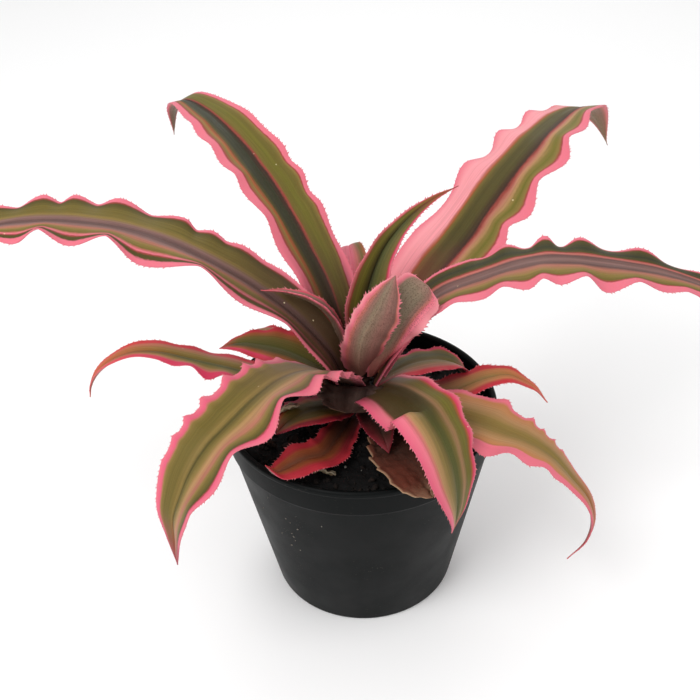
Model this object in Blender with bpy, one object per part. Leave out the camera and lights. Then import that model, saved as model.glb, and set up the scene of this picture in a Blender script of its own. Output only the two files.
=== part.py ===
"""A potted bromeliad of the earth-star kind: a loose rosette of wavy, toothed leaves on a short
stem, growing in a round nursery pot. Metres, +Z up, origin at the centre of the pot's foot.

Leaves are described in millimetres in the plane they grow in: outwards from the stem's axis,
up from the crown's datum, and sideways to the left of someone looking outwards. The datum lies
a little above the potting mix, level with the rim of a pot filled as usual."""

import math

import bmesh
import bpy
import numpy as np

MM = 0.001

# Pot
POT_HEIGHT = 84 * MM
RIM_RADIUS = 52.5 * MM
FOOT_RADIUS = 37 * MM
POT_WALL = 1.4 * MM
COLLAR_HEIGHT = 11 * MM
COLLAR_STEP = 1.6 * MM
RIM_LIP = 1.0 * MM
FLOOR_RAISE = 2.0 * MM
FOOT_RING_WIDTH = 4 * MM
FOOT_PAD_SHARE = 0.35
DRAIN_COUNT = 6
DRAIN_RADIUS = 3.5 * MM
DRAIN_CIRCLE_SHARE = 0.63
DRAIN_TURN = math.radians(20)
POT_SEGMENTS = 48

# Potting mix
HEADSPACE = 8 * MM
CROWN_DATUM_ABOVE_MIX = 8 * MM
MOUND_HEIGHT = 4 * MM
MIX_ROUGHNESS = 0.9 * MM
STEM_SOCKET_DEPTH = 10 * MM
FIT_GAP = 0.3 * MM

# Stem
STEM_RADIUS = 5.2 * MM
STEM_TOP_RADIUS = 3.2 * MM
STEM_TOP_ABOVE_DATUM = 21 * MM
STEM_SEGMENTS = 20

# Leaves
LEAF_THICKNESS = 0.9 * MM
LEAF_STATION = 6.5 * MM
BLADE_COLUMNS = (-1.0, -0.6, 0.0, 0.6, 1.0)
TIP_HALF_WIDTH = 0.4 * MM
RUFFLE_CURVE = 2.2
SCALLOP_SHARE = 0.04
# The leaves' reach is given for this rim. Beyond the inner radius they move out with a wider rim.
LEAF_RIM_RADIUS = 52.5 * MM
LEAF_INNER_RADIUS = 20 * MM

MIX_TOP_AT_WALL = POT_HEIGHT - HEADSPACE
FLOOR_TOP = FLOOR_RAISE + POT_WALL
CROWN_DATUM = MIX_TOP_AT_WALL + CROWN_DATUM_ABOVE_MIX


class Leaf:
    """One leaf. rib: its midrib as (out, up, left) points. width: the blade's greatest width.
    base: the width at the stem as a share of it. peak: where it is widest, as a share of length.
    tip: exponents of the taper. roll: turn about the midrib, left side up, along the leaf.
    fold: how far each half is raised. left, right: (wave crests, height) of the two margins,
    where crests is a count or the crests' places as shares of length."""

    def __init__(self, name, azimuth, rib, width, base=0.5, peak=0.4, tip=(1.8, 1.0),
                 roll=(0,), fold=(15,), left=(5, 0.5), right=(5, 0.5), dry=False):
        self.name = name
        self.azimuth = azimuth
        self.rib = rib
        self.width = width
        self.base = base
        self.peak = peak
        self.tip = tip
        self.roll = roll
        self.fold = fold
        self.left = left
        self.right = right
        self.dry = dry


LEAVES = [
    # the long and tall leaves
    Leaf("leaf_long_left", 178,
         ((7, 13, 1.5), (10, 23, 3.5), (20, 37, 2.5), (36, 51.5, 0.5), (54, 64), (74, 74), (98, 79),
          (122, 78), (146, 70), (166, 57), (180, 44)),
         27, base=0.15, peak=0.35, tip=(2.2, 1.1), roll=(-4, -5, -5, -5), fold=(24, 8, 8),
         left=((0.10, 0.26, 0.42, 0.53, 0.61, 0.74, 0.86), -3.5),
         right=((0.18, 0.25, 0.32, 0.38, 0.48, 0.56, 0.62, 0.73, 0.85), 2.2)),
    Leaf("leaf_tall_back_left", 126,
         ((6, 15), (10, 26), (15, 36), (24, 47), (42, 63), (58, 73), (78, 82), (98, 86), (116, 85),
          (126, 78), (129, 66)),
         29, base=0.15, peak=0.4, tip=(2.4, 1.2), roll=(-5, 8, -5, -5), fold=(15, 15, 8),
         left=((0.26, 0.34, 0.46, 0.52, 0.58, 0.65, 0.74), 1.5),
         right=((0.2, 0.35, 0.44, 0.57, 0.7), 1.0)),
    Leaf("leaf_tall_back_right", 42,
         ((6, 12, 1), (12, 20, 1), (22, 29.5), (39, 43), (51, 50), (72, 65), (96, 77), (123, 81), (135, 78),
          (144, 68), (151, 56)),
         38, base=0.08, peak=0.45, tip=(2.4, 1.2), roll=(0, -5, -8, -25), fold=(10, -5, 14),
         left=((0.25, 0.48, 0.62, 0.72, 0.8), 2.0),
         right=((0.3, 0.43, 0.5, 0.59, 0.7), -1.8)),
    Leaf("leaf_long_right", 0,
         ((6, 9, -1), (14, 25, 1), (28, 42, 4.5), (45, 52, 2), (65, 59), (91, 56), (117, 49),
          (140, 37), (155, 23)),
         25, base=0.15, peak=0.4, tip=(2.0, 1.1), roll=(5, 0, 7, 0), fold=(12, 0, 8),
         left=((0.37, 0.45, 0.55, 0.7, 0.8, 0.9), 2.6),
         right=((0.3, 0.4, 0.46, 0.53, 0.63, 0.72, 0.83), -2.2)),
    # the heart of the rosette
    Leaf("leaf_inner_back", 80,
         ((4, 18), (7, 30), (11, 44, -2.5), (17, 58, -8), (23, 67, -16), (28, 73, -25), (31, 76.5, -33)),
         15, base=0.3, peak=0.4, tip=(1.2, 1.0), roll=(0, 10, 10), fold=(30, 25, 25),
         left=(4, 0.3), right=(4, 0.3)),
    Leaf("leaf_young_front", 270,
         ((6, 16, -2), (12, 26.5, -3), (16, 40, -0.5), (16, 50, 5), (13.5, 63, 13)),
         20, base=0.15, peak=0.55, tip=(2.4, 1.0), roll=(0, -22, -28), fold=(10, 25, 12),
         left=(5, 0.6), right=(5, 0.6)),
    Leaf("leaf_young_right", 315,
         ((6, 14, 0.5), (11.5, 26, 0.5), (16, 41, 2), (20, 50.5, 6.5), (24, 57, 14)),
         22, base=0.12, peak=0.7, tip=(2.6, 1.0), roll=(-12, -52, -60), fold=(6, -5, 0),
         left=((0.35, 0.8), 1.6), right=(3, 0.8)),
    Leaf("leaf_slim_left", 182,
         ((5, 20), (7, 29, -1), (10, 38, -1), (16, 45.5), (24, 49.5), (34, 52, 1)),
         10, base=0.3, peak=0.5, tip=(1.5, 1.0), roll=(6, 12), fold=(30, 30, 30),
         left=(3, 0.2), right=(3, 0.2)),
    # the broad leaves that hang over the rim in front
    Leaf("leaf_broad_front_left", 222,
         ((6.5, 10), (12, 17), (28, 28), (38, 30), (49, 28), (60, 24), (71, 19), (78, 13), (83, 6),
          (87, -2), (88, -12), (89, -24)),
         34, base=0.15, peak=0.45, tip=(2.0, 1.0), roll=(5, 9, 5, 10), fold=(4, 9, 16),
         left=((0.1, 0.23, 0.35, 0.48, 0.57, 0.66, 0.76), -1.8),
         right=((0.16, 0.23, 0.3, 0.4, 0.48, 0.56, 0.64, 0.74), 1.4)),
    Leaf("leaf_broad_front_right", 300,
         ((6.5, 6), (13, 13), (21, 18), (33, 22), (46, 23), (54, 19), (59, 13), (62, 5), (63, -3),
          (62, -14), (61, -20)),
         30, base=0.2, peak=0.5, tip=(2.0, 1.1), roll=(8, 2, -20, -30), fold=(4, -8, 16),
         left=(5, 0.5), right=((0.3, 0.52, 0.75), 1.2)),
    Leaf("leaf_hooked_right", 331,
         ((6.5, 0), (24, 4), (42, 6), (52, 6), (60, 5), (68, 4), (77, 0), (84.5, -7), (91, -14), (94, -23),
          (93, -34), (87, -47)),
         28, base=0.25, peak=0.35, tip=(1.1, 1.5), roll=(-5, 3, -12, 8), fold=(0, 0, 14),
         left=((0.38, 0.47, 0.55, 0.63), 0.7),
         right=((0.3, 0.4, 0.52, 0.6), -1.2)),
    # the smaller leaves round the side
    Leaf("leaf_curled_left", 186,
         ((6.5, 2), (20, 7.5), (32, 12.5), (44, 19), (52, 22.5), (62, 27), (74, 32), (82, 33), (89, 30.5),
          (96, 25), (100, 17), (100.5, 10)),
         16.5, base=0.35, peak=0.35, tip=(1.5, 1.0), roll=(3, 4, 0, 2), fold=(22, 0, 24),
         left=((0.2, 0.36, 0.5), -0.8), right=((0.28, 0.42, 0.55), 0.8)),
    Leaf("leaf_short_left", 162,
         ((6.5, 5), (12, 10), (19, 14), (28, 17.5), (38, 18.5), (48, 17.5), (57, 13.5)),
         19, base=0.3, peak=0.45, tip=(1.8, 1.0), roll=(-8, -11, -8), fold=(24, 5, 10),
         left=(4, 0.4), right=(4, 0.4)),
    Leaf("leaf_short_right", 15,
         ((6.5, 5), (13, 9), (22, 12), (32, 11), (40, 6), (44, 0)),
         21, base=0.3, peak=0.45, tip=(2.0, 1.0), roll=(-15, -12, 0), fold=(4, 0, 20),
         left=(4, 0.3), right=(4, 0.3)),
    Leaf("leaf_slim_right", 358,
         ((6.5, -2), (22, 0), (35, 2.5, 1), (42, 7, 0.5), (49, 11), (56, 12), (61, 9), (67, 4), (72, -3)),
         10.5, base=0.35, peak=0.4, tip=(1.5, 1.0), roll=(6, 9, 0), fold=(15, 6, 11),
         left=(4, 0.3), right=(4, 0.3)),
    # the lowest leaves, close over the potting mix
    Leaf("leaf_low_front_left", 236,
         ((6.5, -2.5, 1), (21, -2, 4), (34, -0.5, 6), (43, 2.5, 3), (50, 3, 1), (54, 4, 0), (57, 9, -2)),
         15, base=0.4, peak=0.5, tip=(2.0, 1.0), roll=(-3, -12, -20), fold=(12, 14, 8),
         left=(4, 0.3), right=(4, 0.3)),
    Leaf("leaf_low_left", 212,
         ((6.5, -0.5), (14, 2), (22, 4.5), (29, 4.5), (37, 0)),
         18, base=0.35, peak=0.5, tip=(2.0, 1.0), roll=(0, 10, 12), fold=(4, 0, 12),
         left=(3, 0.3), right=(3, 0.3)),
    Leaf("leaf_low_front", 285,
         ((6.5, 2), (15, 3.5), (24, 5), (31, 4.5), (36, 2.5)),
         11, base=0.4, peak=0.5, tip=(1.8, 1.0), roll=(0, 4, 4), fold=(8, 8, 8),
         left=(4, 0.3), right=(4, 0.3)),
    Leaf("leaf_withered_front", 290,
         ((6.5, -2.5, 1), (22, -1.5, 2), (38, 1, 0), (50, 3, 1), (60, 0, 3)),
         20, base=0.2, peak=0.72, tip=(3.0, 0.8), roll=(0, 0, 0), fold=(12, 5, 8),
         left=(4, 0.6), right=(5, 0.8), dry=True),
    Leaf("leaf_dry_heart", 252,
         ((6.5, 7.5), (9.5, 11.5), (14, 14), (18.5, 13.5), (22, 10.5)),
         12, base=0.4, peak=0.5, tip=(3.0, 0.8), roll=(0, 6), fold=(10, 0),
         left=(3, 0.4), right=(3, 0.4), dry=True),
    # leaves that the others hide from the front
    Leaf("leaf_low_back", 98,
         ((6.5, 3), (16, 18), (30, 32, -3), (46, 39, -5), (58, 36, -6), (68, 26, -7)),
         17, base=0.4, peak=0.4, tip=(1.8, 1.0), fold=(12, 6, 10), left=(4, 0.4), right=(4, 0.4)),
    Leaf("leaf_low_back_left", 136,
         ((6.5, -2.5), (18, 4), (32, 7), (46, 7.5), (58, 5), (67, -1)),
         17, base=0.4, peak=0.4, tip=(1.8, 1.0), fold=(12, 6, 10), left=(4, 0.4), right=(4, 0.4)),
]


# ---------------------------------------------------------------- helpers


def material(name, colour, roughness):
    mat = bpy.data.materials.new(name)
    mat.use_nodes = True
    shader = mat.node_tree.nodes["Principled BSDF"]
    shader.inputs["Base Color"].default_value = (*colour, 1.0)
    shader.inputs["Roughness"].default_value = roughness
    shader.inputs["Metallic"].default_value = 0.0
    return mat


def add_object(name, mesh, mat, parent=None):
    obj = bpy.data.objects.new(name, mesh)
    bpy.context.scene.collection.objects.link(obj)
    mesh.materials.append(mat)
    mesh.shade_smooth()
    obj.parent = parent
    return obj


def turned_mesh(name, profile, segments):
    """A closed solid turned about Z. profile: (radius, height) points that start and end on the
    axis, or a closed ring of points if none is on it."""
    bm = bmesh.new()
    on_axis = profile[0][0] == 0 and profile[-1][0] == 0
    rings = []
    for radius, height in profile:
        if radius == 0:
            rings.append([bm.verts.new((0, 0, height))])
            continue
        angles = [2 * math.pi * i / segments for i in range(segments)]
        rings.append([bm.verts.new((radius * math.cos(a), radius * math.sin(a), height)) for a in angles])
    pairs = list(zip(rings, rings[1:]))
    if not on_axis:
        pairs.append((rings[-1], rings[0]))
    for lower, upper in pairs:
        for i in range(segments):
            j = (i + 1) % segments
            corners = [lower[i % len(lower)], lower[j % len(lower)]]
            corners += [upper[j % len(upper)], upper[i % len(upper)]]
            bm.faces.new(list(dict.fromkeys(corners)))
    bmesh.ops.recalc_face_normals(bm, faces=bm.faces)
    mesh = bpy.data.meshes.new(name)
    bm.to_mesh(mesh)
    bm.free()
    return mesh


# ---------------------------------------------------------------- pot


def wall_radius(height):
    """The pot's outer radius under the collar, at a height above the ground."""
    under_collar = POT_HEIGHT - COLLAR_HEIGHT
    top_radius = RIM_RADIUS - COLLAR_STEP
    return FOOT_RADIUS + (top_radius - FOOT_RADIUS) * height / under_collar


def inner_radius(height):
    """The radius of the pot's inside at a height above the ground."""
    under_collar = POT_HEIGHT - COLLAR_HEIGHT
    if height <= under_collar:
        return wall_radius(height) - POT_WALL
    step = COLLAR_STEP - RIM_LIP
    return RIM_RADIUS - COLLAR_STEP - POT_WALL + step * (height - under_collar) / COLLAR_HEIGHT


def make_pot(mat):
    collar_base = POT_HEIGHT - COLLAR_HEIGHT
    lip = RIM_LIP / 2
    foot_bevel = 1.0 * MM
    pad_radius = FOOT_RADIUS * FOOT_PAD_SHARE
    profile = [
        (0, 0),
        (pad_radius, 0),
        (pad_radius + foot_bevel, FLOOR_RAISE),
        (FOOT_RADIUS - FOOT_RING_WIDTH, FLOOR_RAISE),
        (FOOT_RADIUS - FOOT_RING_WIDTH + foot_bevel, 0),
        (FOOT_RADIUS - foot_bevel, 0),
        (wall_radius(foot_bevel), foot_bevel),
        (wall_radius(collar_base) - 0.2 * MM, collar_base - 1.0 * MM),
        (RIM_RADIUS - 0.6 * MM, collar_base),
        (RIM_RADIUS, POT_HEIGHT - lip),
        (RIM_RADIUS - lip, POT_HEIGHT),
        (inner_radius(POT_HEIGHT) + lip, POT_HEIGHT),
        (inner_radius(POT_HEIGHT), POT_HEIGHT - lip),
        (inner_radius(collar_base), collar_base),
        (inner_radius(FLOOR_TOP), FLOOR_TOP),
        (0, FLOOR_TOP),
    ]
    pot = add_object("pot", turned_mesh("pot", profile, POT_SEGMENTS), mat)
    pot.data.set_sharp_from_angle(angle=math.radians(40))
    for i in range(DRAIN_COUNT):
        angle = DRAIN_TURN + 2 * math.pi * i / DRAIN_COUNT
        circle = FOOT_RADIUS * DRAIN_CIRCLE_SHARE
        bpy.ops.mesh.primitive_cylinder_add(
            vertices=16, radius=DRAIN_RADIUS, depth=4 * FLOOR_TOP,
            location=(circle * math.cos(angle), circle * math.sin(angle), FLOOR_TOP))
        cutter = bpy.context.object
        cutter.name = f"drain_cutter_{i}"
        cutter.hide_render = True
        cutter.display_type = "WIRE"
        cut = pot.modifiers.new(f"drain_{i}", "BOOLEAN")
        cut.operation = "DIFFERENCE"
        cut.object = cutter
    return pot


# ---------------------------------------------------------------- potting mix and stem


def mix_height(x, y):
    """The height of the potting mix's surface: a low mound with a lumpy top."""
    share = math.hypot(x, y) / RIM_RADIUS
    lumps = math.sin(310 * x + 1.0) * math.cos(270 * y + 0.4) + 0.6 * math.sin(520 * y - 430 * x)
    mound = MOUND_HEIGHT * max(0.0, 1 - share ** 2)
    return MIX_TOP_AT_WALL + mound + MIX_ROUGHNESS * lumps * min(1, share * 2)


def make_potting_mix(mat):
    socket_radius = STEM_RADIUS + FIT_GAP
    bottom = FLOOR_TOP + FIT_GAP
    socket_floor = MIX_TOP_AT_WALL + MOUND_HEIGHT - STEM_SOCKET_DEPTH
    top_radius = inner_radius(MIX_TOP_AT_WALL) - FIT_GAP
    collar_base = POT_HEIGHT - COLLAR_HEIGHT
    ring_shares = (0.25, 0.5, 0.75, 1.0)
    top_radii = [socket_radius] + [socket_radius + (top_radius - socket_radius) * s for s in ring_shares]
    profile = [(0, socket_floor), (socket_radius, socket_floor)]
    profile += [(r, MIX_TOP_AT_WALL) for r in top_radii]
    side_gap = FIT_GAP + 0.1 * MM
    profile += [(inner_radius(collar_base) - side_gap, collar_base - FIT_GAP),
                (inner_radius(bottom) - side_gap, bottom), (0, bottom)]
    mesh = turned_mesh("potting_mix", profile, POT_SEGMENTS)
    for vertex in mesh.vertices:
        if abs(vertex.co.z - MIX_TOP_AT_WALL) < 1e-6:
            vertex.co.z = mix_height(vertex.co.x, vertex.co.y)
    mix = add_object("potting_mix", mesh, mat)
    mix.data.set_sharp_from_angle(angle=math.radians(50))
    return mix


def stem_radius(height):
    """The stem's radius at a height above the ground: it narrows from the mix to its top."""
    foot = MIX_TOP_AT_WALL + MOUND_HEIGHT
    top = CROWN_DATUM + STEM_TOP_ABOVE_DATUM
    share = min(1.0, max(0.0, (height - foot) / (top - foot)))
    return STEM_RADIUS + (STEM_TOP_RADIUS - STEM_RADIUS) * share


def make_stem(mat):
    foot = MIX_TOP_AT_WALL + MOUND_HEIGHT - STEM_SOCKET_DEPTH + FIT_GAP
    top = CROWN_DATUM + STEM_TOP_ABOVE_DATUM
    heights = [foot + (top - foot) * s for s in (0.1, 0.35, 0.6, 0.8, 0.95)]
    profile = [(0, foot), (STEM_RADIUS * 0.7, foot)]
    profile += [(stem_radius(h), h) for h in heights]
    profile += [(STEM_TOP_RADIUS * 0.6, top), (0, top)]
    return add_object("stem", turned_mesh("stem", profile, STEM_SEGMENTS), mat)


# ---------------------------------------------------------------- leaves


def curve_through(points, shares):
    """Points on a smooth curve through the given points, at shares of its chord length."""
    p = np.asarray(points, float)
    lengths = np.linalg.norm(np.diff(p, axis=0), axis=1)
    s = np.concatenate([[0], np.cumsum(lengths)])
    slope = np.diff(p, axis=0) / lengths[:, None]
    tangent = np.vstack([slope[:1], slope[:1], slope[-1:]]) if len(p) == 2 else np.empty_like(p)
    tangent[0], tangent[-1] = slope[0], slope[-1]
    for i in range(1, len(p) - 1):
        before, after = lengths[i - 1], lengths[i]
        tangent[i] = (slope[i - 1] * after + slope[i] * before) / (before + after)
    x = np.asarray(shares) * s[-1]
    k = np.clip(np.searchsorted(s, x, side="right") - 1, 0, len(p) - 2)
    h = lengths[k][:, None]
    u = (x - s[k])[:, None] / h
    return ((2 * u**3 - 3 * u**2 + 1) * p[k] + (u**3 - 2 * u**2 + u) * h * tangent[k]
            + (3 * u**2 - 2 * u**3) * p[k + 1] + (u**3 - u**2) * h * tangent[k + 1])


def eased(values, shares):
    """Values spread evenly along the leaf, with smooth steps between them."""
    v = np.asarray(values, float)
    if len(v) == 1:
        return np.full(len(shares), v[0])
    x = shares * (len(v) - 1)
    k = np.clip(x.astype(int), 0, len(v) - 2)
    u = x - k
    u = u * u * (3 - 2 * u)
    return v[k] * (1 - u) + v[k + 1] * u


def half_width(leaf, shares):
    rise = leaf.base + (1 - leaf.base) * np.sin(np.pi / 2 * np.clip(shares / leaf.peak, 0, 1))
    beyond = np.clip((shares - leaf.peak) / (1 - leaf.peak), 0, 1)
    fall = (1 - beyond ** leaf.tip[0]) ** leaf.tip[1]
    width = leaf.width * MM / 2 * np.where(shares < leaf.peak, rise, fall)
    return np.maximum(width, TIP_HALF_WIDTH)


def wave(crests, shares):
    """A wave along a margin: 1 at each crest and -1 between two of them."""
    if isinstance(crests, int):
        crests = [(i + 0.5) / crests for i in range(crests)]
    first, last = crests[1] - crests[0], crests[-1] - crests[-2]
    places = [crests[0] - 2 * first, crests[0] - first, *crests, crests[-1] + last, crests[-1] + 2 * last]
    phase = np.interp(shares, places, np.arange(len(places)))
    return np.cos(2 * np.pi * phase)


def reach(out):
    """How far out a rib point lies: past the crown, the leaves move out with a wider rim."""
    share = (out - LEAF_INNER_RADIUS) / (LEAF_RIM_RADIUS - LEAF_INNER_RADIUS)
    return out + (RIM_RADIUS - LEAF_RIM_RADIUS) * min(1.0, max(0.0, share))


def blade(leaf, count):
    """The leaf's middle surface in its own frame, as an array of (stations, columns, xyz)."""
    shares = np.linspace(0, 1, count + 1)
    rib = [(reach(p[0] * MM), p[2] * MM if len(p) > 2 else 0.0, p[1] * MM) for p in leaf.rib]
    base_height = CROWN_DATUM + rib[0][2]
    rib[0] = (stem_radius(base_height) + FIT_GAP + LEAF_THICKNESS, rib[0][1], rib[0][2])
    centre = curve_through(rib, shares)
    along = np.gradient(centre, axis=0)
    along /= np.linalg.norm(along, axis=1)[:, None]
    side = np.array([0.0, 1.0, 0.0]) - along[:, 1:2] * along
    side /= np.linalg.norm(side, axis=1)[:, None]
    normal = np.cross(along, side)
    roll = np.radians(eased(leaf.roll, shares))[:, None]
    side, normal = side * np.cos(roll) + normal * np.sin(roll), normal * np.cos(roll) - side * np.sin(roll)
    fold = np.radians(eased(leaf.fold, shares))
    half = half_width(leaf, shares)
    fade = np.sin(np.pi * shares) ** 0.6 * np.minimum(1, half / (4 * MM))
    points = np.empty((count + 1, len(BLADE_COLUMNS), 3))
    for column, across in enumerate(BLADE_COLUMNS):
        crests, height = leaf.left if across > 0 else leaf.right
        ripple = wave(crests, shares) * abs(across) ** RUFFLE_CURVE * fade
        sideways = half * across * np.cos(fold) * (1 + SCALLOP_SHARE * ripple * np.sign(height))
        upwards = half * abs(across) * np.sin(fold) + height * MM * ripple
        points[:, column] = centre + side * sideways[:, None] + normal * upwards[:, None]
    return points


def rib_length(leaf):
    rib = np.array([(p[0], p[1]) for p in leaf.rib], float)
    return float(np.linalg.norm(np.diff(rib, axis=0), axis=1).sum()) * MM


def make_leaf(leaf, mat, crown):
    stations = max(8, round(rib_length(leaf) / LEAF_STATION))
    points = blade(leaf, stations)
    rows, columns = points.shape[:2]
    faces = []
    for i in range(rows - 1):
        for j in range(columns - 1):
            corner = i * columns + j
            faces.append((corner, corner + columns, corner + columns + 1, corner + 1))
    mesh = bpy.data.meshes.new(leaf.name)
    mesh.from_pydata(points.reshape(-1, 3).tolist(), [], faces)
    obj = add_object(leaf.name, mesh, mat, crown)
    obj.rotation_euler.z = math.radians(leaf.azimuth)
    skin = obj.modifiers.new("thickness", "SOLIDIFY")
    skin.thickness = LEAF_THICKNESS
    skin.offset = 0
    return obj


def main():
    for obj in list(bpy.data.objects):
        bpy.data.objects.remove(obj, do_unlink=True)
    make_pot(material("pot_plastic", (0.012, 0.015, 0.015), 0.42))
    make_potting_mix(material("potting_mix", (0.018, 0.013, 0.010), 0.95))
    make_stem(material("stem", (0.20, 0.10, 0.06), 0.7))
    leaf_green = material("leaf", (0.35, 0.16, 0.12), 0.5)
    leaf_dry = material("dry_leaf", (0.16, 0.08, 0.06), 0.85)
    crown = bpy.data.objects.new("crown", None)
    bpy.context.scene.collection.objects.link(crown)
    crown.location.z = CROWN_DATUM
    for leaf in LEAVES:
        make_leaf(leaf, leaf_dry if leaf.dry else leaf_green, crown)


main()
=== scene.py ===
"""The looks of a potted earth-star bromeliad: banded, wavy, toothed leaves on a short stem,
a moulded nursery pot and its peat. Lengths in the tables are in millimetres."""

import math
from dataclasses import dataclass

import bmesh
import bpy
import numpy as np
from mathutils import Euler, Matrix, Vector, noise


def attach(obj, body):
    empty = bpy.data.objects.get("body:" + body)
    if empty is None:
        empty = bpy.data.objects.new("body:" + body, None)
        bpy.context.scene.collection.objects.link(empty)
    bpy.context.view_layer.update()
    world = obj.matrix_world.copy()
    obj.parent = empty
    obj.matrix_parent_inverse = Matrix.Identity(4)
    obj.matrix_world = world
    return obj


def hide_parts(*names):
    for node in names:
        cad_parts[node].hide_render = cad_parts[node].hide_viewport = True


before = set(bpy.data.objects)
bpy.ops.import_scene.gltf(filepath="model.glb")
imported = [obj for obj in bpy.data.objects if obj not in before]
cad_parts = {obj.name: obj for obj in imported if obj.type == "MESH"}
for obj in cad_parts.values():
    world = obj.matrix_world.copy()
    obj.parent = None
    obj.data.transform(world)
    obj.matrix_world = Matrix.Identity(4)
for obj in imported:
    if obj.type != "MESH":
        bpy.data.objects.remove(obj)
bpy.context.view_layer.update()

MM = 0.001
ROOT = "root"

# Sizes shared with the design
RIM_RADIUS = 52.5 * MM
FOOT_RADIUS = 37 * MM
POT_HEIGHT = 84 * MM
POT_WALL = 1.4 * MM
COLLAR_HEIGHT = 11 * MM
COLLAR_STEP = 1.6 * MM
RIM_LIP = 1.0 * MM
FLOOR_RAISE = 2.0 * MM
FOOT_RING_WIDTH = 4 * MM
FOOT_PAD_SHARE = 0.35
DRAIN_COUNT = 6
DRAIN_RADIUS = 3.5 * MM
DRAIN_CIRCLE_SHARE = 0.63
DRAIN_TURN = math.radians(20)
MIX_TOP = 76 * MM
MOUND_HEIGHT = 4 * MM
CROWN_DATUM = 84 * MM
STEM_RADIUS = 5.2 * MM
STEM_TOP_RADIUS = 3.2 * MM
STEM_TOP = CROWN_DATUM + 21 * MM

# Camera, placed from the point it looks at
VIEW_ELEVATION = math.radians(35.56)
VIEW_ROLL = math.radians(-1.98)
VIEW_DISTANCE = 371.3 * MM
VIEW_TARGET = Vector((-3.2, 0.0, 107.2)) * MM
VIEW_LENS = 51.43

# Fineness of the leaves
STATION = 0.9
COLUMNS = 28
MIDRIB_THICKNESS = 1.1
EDGE_THICKNESS = 0.35
TOOTH_SPACING = 1.6
TOOTH_LENGTH = 0.95
TOOTH_WIDTH = 1.05
TOOTH_LEAN = 0.55

# How the blades are worked. Depths are in millimetres, the rest are shares of the blade.
MARGIN_POWER = 2.2
SCALLOP_POWER = 1.5
GROOVE_DEPTH = 0.35
GROOVE_WIDTH = 0.1
TREMBLE_HEIGHT = 0.8
PLEAT_REACH = 0.16
PLEAT_SHARPNESS = 0.004
PLEAT_DIP = 0.35
CREASE_DEPTH = 1.6
WRINKLE_DEPTH = 0.45


# ---- colours


def rgb(red, green, blue):
    """A colour as the eye sees it, from 0 to 255, as a linear colour."""
    parts = []
    for value in (red, green, blue):
        c = value / 255
        parts.append(c / 12.92 if c <= 0.04045 else ((c + 0.055) / 1.055) ** 2.4)
    return (*parts, 1.0)


PALE_PINK = rgb(232, 150, 156)
PINK = rgb(220, 113, 129)
HOT_PINK = rgb(214, 90, 117)
DEEP_PINK = rgb(204, 58, 90)
RED = rgb(188, 50, 62)
CRIMSON = rgb(150, 32, 52)
ORANGE_RED = rgb(212, 88, 66)
BRICK = rgb(146, 64, 56)
SALMON = rgb(186, 106, 96)
ROSE_TAN = rgb(168, 106, 88)
AMBER = rgb(182, 122, 78)
TAN = rgb(170, 130, 88)
KHAKI = rgb(132, 110, 58)
OLIVE = rgb(106, 92, 42)
FERN = rgb(106, 100, 38)
MOSS = rgb(78, 70, 33)
GREEN = rgb(80, 80, 36)
PINE = rgb(54, 54, 36)
MAUVE = rgb(130, 98, 92)
PUCE = rgb(98, 72, 68)
UMBER = rgb(62, 40, 32)
RUST = rgb(158, 84, 48)
STONE = rgb(130, 114, 94)
MUSHROOM = rgb(138, 98, 88)
COCOA = rgb(112, 78, 70)
DRY_BROWN = rgb(96, 50, 38)
DRY_GREY = rgb(92, 78, 72)
DRY_EDGE = rgb(168, 136, 108)
TOOTH_PINK = rgb(206, 120, 126)
UNDER_FLECK = rgb(196, 176, 158)
TOP_FLECK = rgb(214, 200, 180)
DUST = rgb(232, 214, 170)

# Bands of colour across a blade, as (place, colour) from -100 at its right margin to 100 at its left
UNDER_BANDS = ((-88, PINK), (-76, SALMON), (-60, MUSHROOM), (0, STONE), (60, MUSHROOM), (76, SALMON),
               (88, PINK))
DARK_UNDER = ((-85, DEEP_PINK), (-70, COCOA), (0, STONE), (70, COCOA), (85, DEEP_PINK))
GREEN_BANDS = ((-80, RED), (-66, ROSE_TAN), (-40, KHAKI), (0, GREEN), (35, OLIVE), (62, ROSE_TAN),
               (76, DEEP_PINK))
YOUNG_BANDS = ((-80, PINK), (-70, OLIVE), (0, GREEN), (70, OLIVE), (80, PINK))
LOW_BANDS = ((-70, RED), (-50, RUST), (-10, rgb(112, 66, 44)), (30, RUST), (60, RED))
DRY_BANDS = ((-100, DRY_EDGE), (-90, DRY_BROWN), (-30, DRY_BROWN), (20, rgb(78, 48, 38)), (90, DRY_BROWN),
             (100, DRY_EDGE))
SCRAP_BANDS = ((-100, rgb(176, 160, 132)), (-40, DRY_GREY), (30, rgb(140, 120, 92)),
               (100, rgb(186, 172, 146)))


# ---- the leaves


@dataclass(frozen=True)
class Edge:
    """One margin of a leaf. crests: its waves, as (place along the leaf, strength) pairs, or how many
    even ones there are. height: how far the strongest rises. scallop: how much it widens the blade.
    point: how peaked the waves are. pleat: (place, height) of one sharp buckle."""

    crests: object
    height: float = 0.5
    scallop: float = 0.04
    point: float = 1.0
    pleat: tuple = None


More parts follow.
